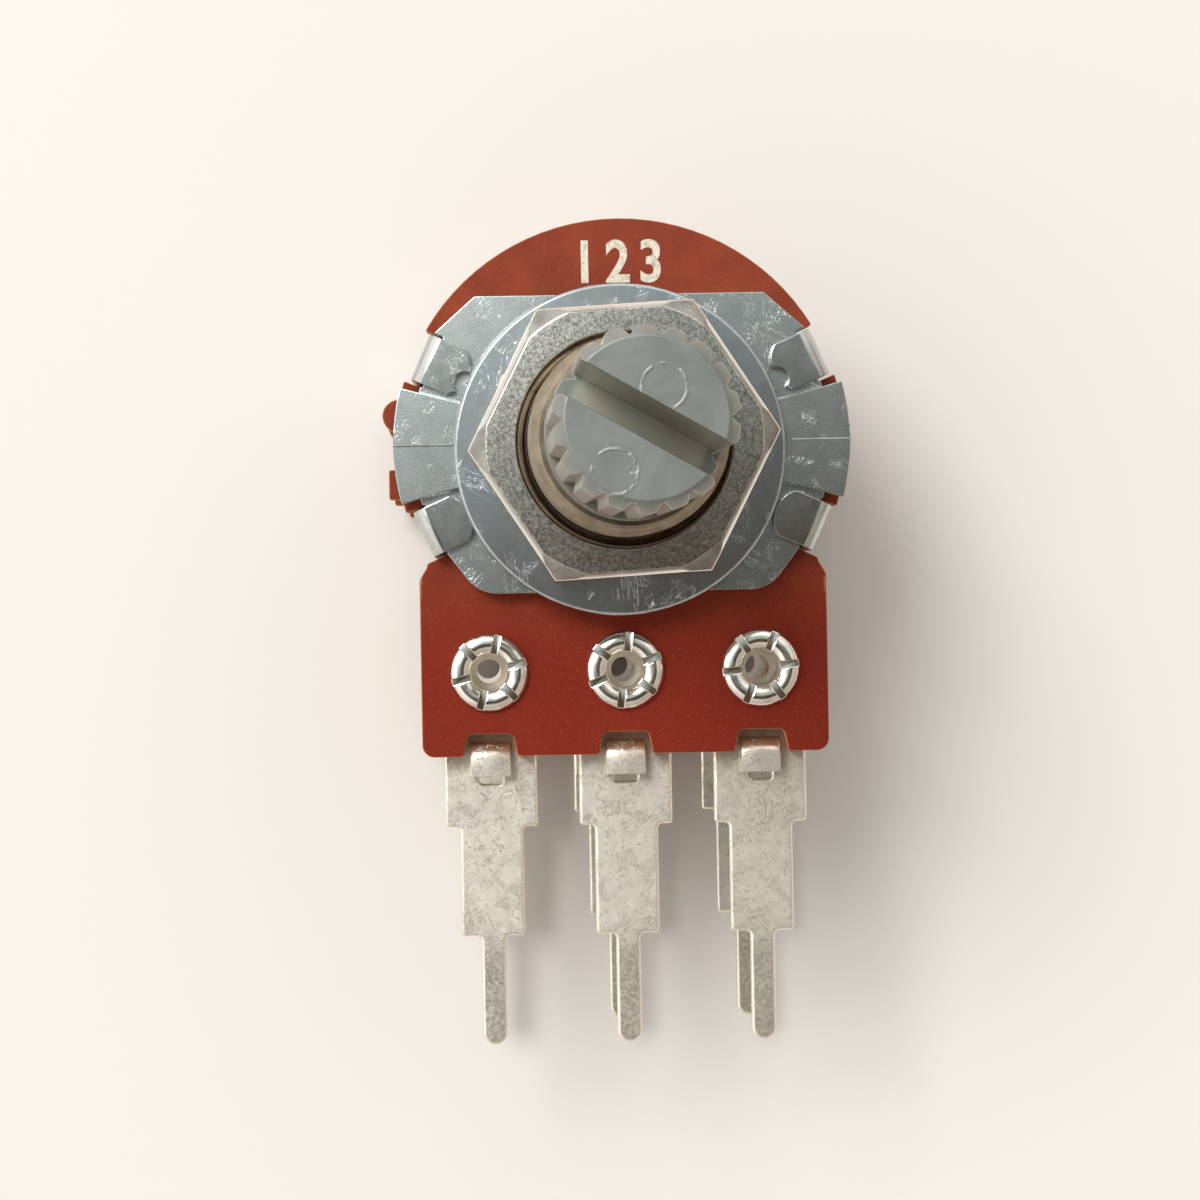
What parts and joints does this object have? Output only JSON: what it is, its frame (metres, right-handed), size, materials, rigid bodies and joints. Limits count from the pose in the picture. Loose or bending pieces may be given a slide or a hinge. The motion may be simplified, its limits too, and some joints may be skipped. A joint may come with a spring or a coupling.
{
  "type": "stereo rotary potentiometer",
  "caption": "Two-gang rotary potentiometer with a slotted, toothed shaft, threaded bushing with nut and washer, strapped body and two rows of board terminals.",
  "frame": {"origin": "on the shaft's axis, in the plane of the raised face of the mounting plate that goes against a panel", "axes": "+Z out along the shaft, +Y away from the terminals, +X to the right when seen from the shaft's end with the terminals down"},
  "size_m": [0.017, 0.0305, 0.0332],
  "materials": {
    "zinc_casting": "satin grey die-cast zinc",
    "bushing_metal": "nickel plated zinc casting",
    "zinc_plate": "bluish zinc plated steel, mottled",
    "nut_metal": "dark mottled nickel plate with bright chamfers",
    "washer_metal": "blue-grey zinc plate, fine grained",
    "spring_steel": "dark spring steel",
    "phenolic_board": "matt red-brown phenolic paper laminate with paler cut edges",
    "carbon_track": "printed carbon, matt black",
    "silver_print": "printed silver",
    "rotor_plastic": "natural acetal",
    "wiper_bronze": "phosphor bronze spring sheet",
    "moulded_body": "dark moulded phenolic",
    "tin_plate": "bright tin plated steel",
    "terminal_tin": "tin plate with dark mottling and scratches",
    "eyelet_metal": "bright tin plated eyelets"
  },
  "bodies": {
    "housing": {"bushing": "bushing_metal", "mounting_plate": "zinc_plate", "hex_nut": "nut_metal", "flat_washer": "washer_metal", "front_board": "phenolic_board", "front_track": "carbon_track", "front_collector": "silver_print", "housing_ring": "moulded_body", "rear_board": "phenolic_board", "rear_track": "carbon_track", "rear_collector": "silver_print", "rear_cover": "tin_plate", "front_terminal_1": "terminal_tin", "front_terminal_2": "terminal_tin", "front_terminal_3": "terminal_tin", "rear_terminal_1": "terminal_tin", "rear_terminal_2": "terminal_tin", "rear_terminal_3": "terminal_tin", "front_eyelet_1": "eyelet_metal", "front_eyelet_2": "eyelet_metal", "front_eyelet_3": "eyelet_metal", "rear_eyelet_1": "eyelet_metal", "rear_eyelet_2": "eyelet_metal", "rear_eyelet_3": "eyelet_metal"},
    "spindle": {"shaft": "zinc_casting", "retaining_clip": "spring_steel", "front_rotor": "rotor_plastic", "front_wiper": "wiper_bronze", "rear_rotor": "rotor_plastic", "rear_wiper": "wiper_bronze"}
  },
  "joints": [
    {"name": "shaft_turn", "type": "hinge", "parent": "housing", "child": "spindle", "pos_m": [0, 0, 0], "axis": [0, 0, -1], "range_deg": [0, 300]}
  ]
}
